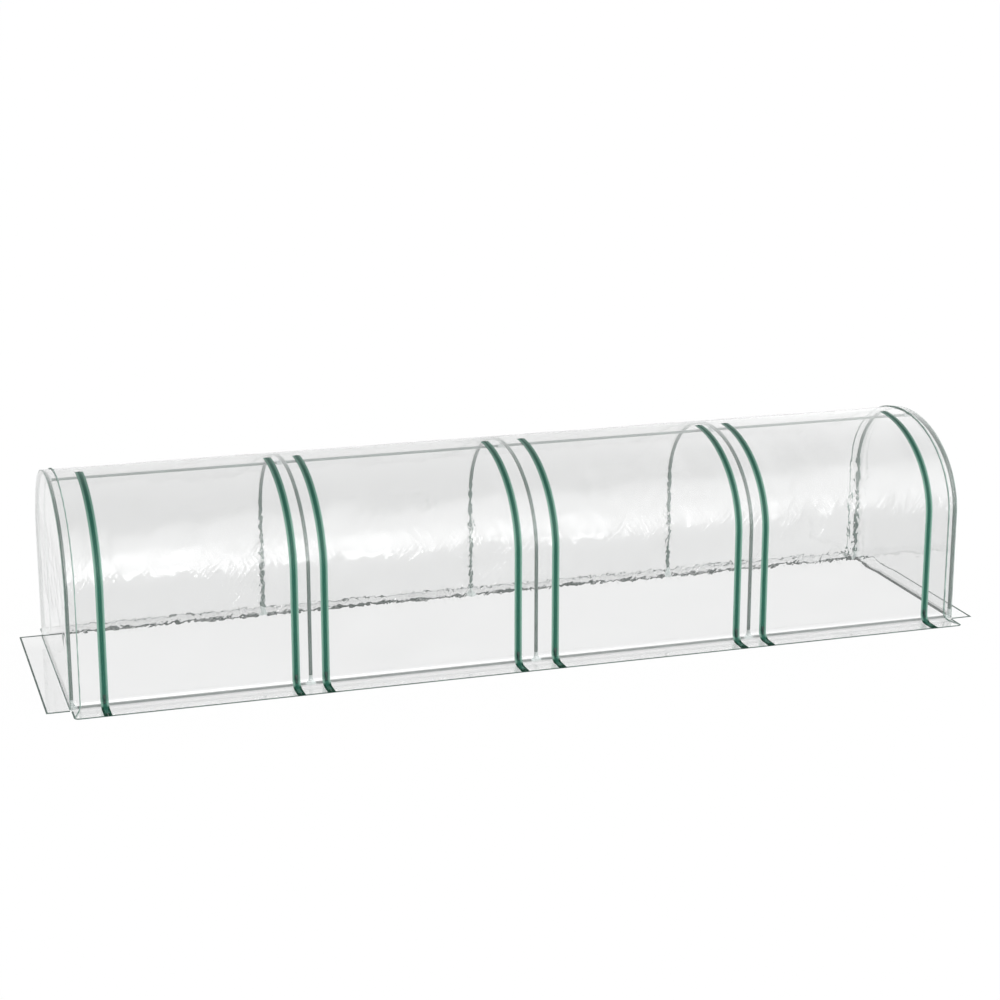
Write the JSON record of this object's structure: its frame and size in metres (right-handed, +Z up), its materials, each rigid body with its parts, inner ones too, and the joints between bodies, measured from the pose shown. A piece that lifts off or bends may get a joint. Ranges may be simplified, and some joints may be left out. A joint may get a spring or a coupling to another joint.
{
  "type": "row cover tunnel",
  "caption": "Long low growing tunnel: steel hoops and rails under a clear film cover with ground skirts and zipped front doors that lift from the ridge.",
  "frame": {"origin": "on the ground under the middle of the tunnel", "axes": "+X along the tunnel, -Y out of the zipped doors, +Z up"},
  "size_m": [4.2126, 1.2226, 0.8773],
  "materials": {
    "tube": "dark green powder coat",
    "connector": "pale grey green moulded plastic",
    "film": "clear glossy film",
    "zip": "woven green tape with a coil",
    "slider": "dark green enamel"
  },
  "bodies": {
    "tunnel": {"hoop_1": "tube", "hoop_2": "tube", "hoop_3": "tube", "hoop_4": "tube", "hoop_5": "tube", "front_rail_1": "tube", "front_rail_2": "tube", "front_rail_3": "tube", "front_rail_4": "tube", "rear_rail_1": "tube", "rear_rail_2": "tube", "rear_rail_3": "tube", "rear_rail_4": "tube", "end_bar_left": "tube", "end_bar_right": "tube", "ridge_bar": "tube", "front_foot_1": "connector", "front_foot_2": "connector", "front_foot_3": "connector", "front_foot_4": "connector", "front_foot_5": "connector", "rear_foot_1": "connector", "rear_foot_2": "connector", "rear_foot_3": "connector", "rear_foot_4": "connector", "rear_foot_5": "connector", "ridge_clip_1": "connector", "ridge_clip_2": "connector", "ridge_clip_3": "connector", "ridge_clip_4": "connector", "ridge_clip_5": "connector", "cover_roof": "film", "front_strip_1": "film", "front_strip_2": "film", "front_strip_3": "film", "front_strip_4": "film", "front_strip_5": "film", "end_cap_left": "film", "end_cap_right": "film", "zip_1": "zip", "zip_2": "zip", "zip_3": "zip", "zip_4": "zip", "zip_5": "zip", "zip_6": "zip", "zip_7": "zip", "zip_8": "zip"},
    "door_body_1": {"door_1": "film"},
    "door_body_2": {"door_2": "film"},
    "door_body_3": {"door_3": "film"},
    "door_body_4": {"door_4": "film"},
    "slider_body_1": {"zip_slider_1": "slider"},
    "slider_body_2": {"zip_slider_2": "slider"},
    "slider_body_3": {"zip_slider_3": "slider"},
    "slider_body_4": {"zip_slider_4": "slider"},
    "slider_body_5": {"zip_slider_5": "slider"},
    "slider_body_6": {"zip_slider_6": "slider"},
    "slider_body_7": {"zip_slider_7": "slider"},
    "slider_body_8": {"zip_slider_8": "slider"}
  },
  "joints": [
    {"name": "door_1_lift", "type": "hinge", "parent": "tunnel", "child": "door_body_1", "pos_m": [-1.4655, 0, 0.87525], "axis": [-1, 0, 0], "range_deg": [0, 110]},
    {"name": "door_2_lift", "type": "hinge", "parent": "tunnel", "child": "door_body_2", "pos_m": [-0.51025, 0, 0.87525], "axis": [-1, 0, 0], "range_deg": [0, 110]},
    {"name": "door_3_lift", "type": "hinge", "parent": "tunnel", "child": "door_body_3", "pos_m": [0.51025, 0, 0.87525], "axis": [-1, 0, 0], "range_deg": [0, 110]},
    {"name": "door_4_lift", "type": "hinge", "parent": "tunnel", "child": "door_body_4", "pos_m": [1.4655, 0, 0.87525], "axis": [-1, 0, 0], "range_deg": [0, 110]},
    {"name": "slider_1_pull", "type": "slide", "parent": "tunnel", "child": "slider_body_1", "axis": [0, 0, 1], "range_m": [0, 0.43]},
    {"name": "slider_2_pull", "type": "slide", "parent": "tunnel", "child": "slider_body_2", "axis": [0, 0, 1], "range_m": [0, 0.43]},
    {"name": "slider_3_pull", "type": "slide", "parent": "tunnel", "child": "slider_body_3", "axis": [0, 0, 1], "range_m": [0, 0.43]},
    {"name": "slider_4_pull", "type": "slide", "parent": "tunnel", "child": "slider_body_4", "axis": [0, 0, 1], "range_m": [0, 0.43]},
    {"name": "slider_5_pull", "type": "slide", "parent": "tunnel", "child": "slider_body_5", "axis": [0, 0, 1], "range_m": [0, 0.43]},
    {"name": "slider_6_pull", "type": "slide", "parent": "tunnel", "child": "slider_body_6", "axis": [0, 0, 1], "range_m": [0, 0.43]},
    {"name": "slider_7_pull", "type": "slide", "parent": "tunnel", "child": "slider_body_7", "axis": [0, 0, 1], "range_m": [0, 0.43]},
    {"name": "slider_8_pull", "type": "slide", "parent": "tunnel", "child": "slider_body_8", "axis": [0, 0, 1], "range_m": [0, 0.43]}
  ]
}
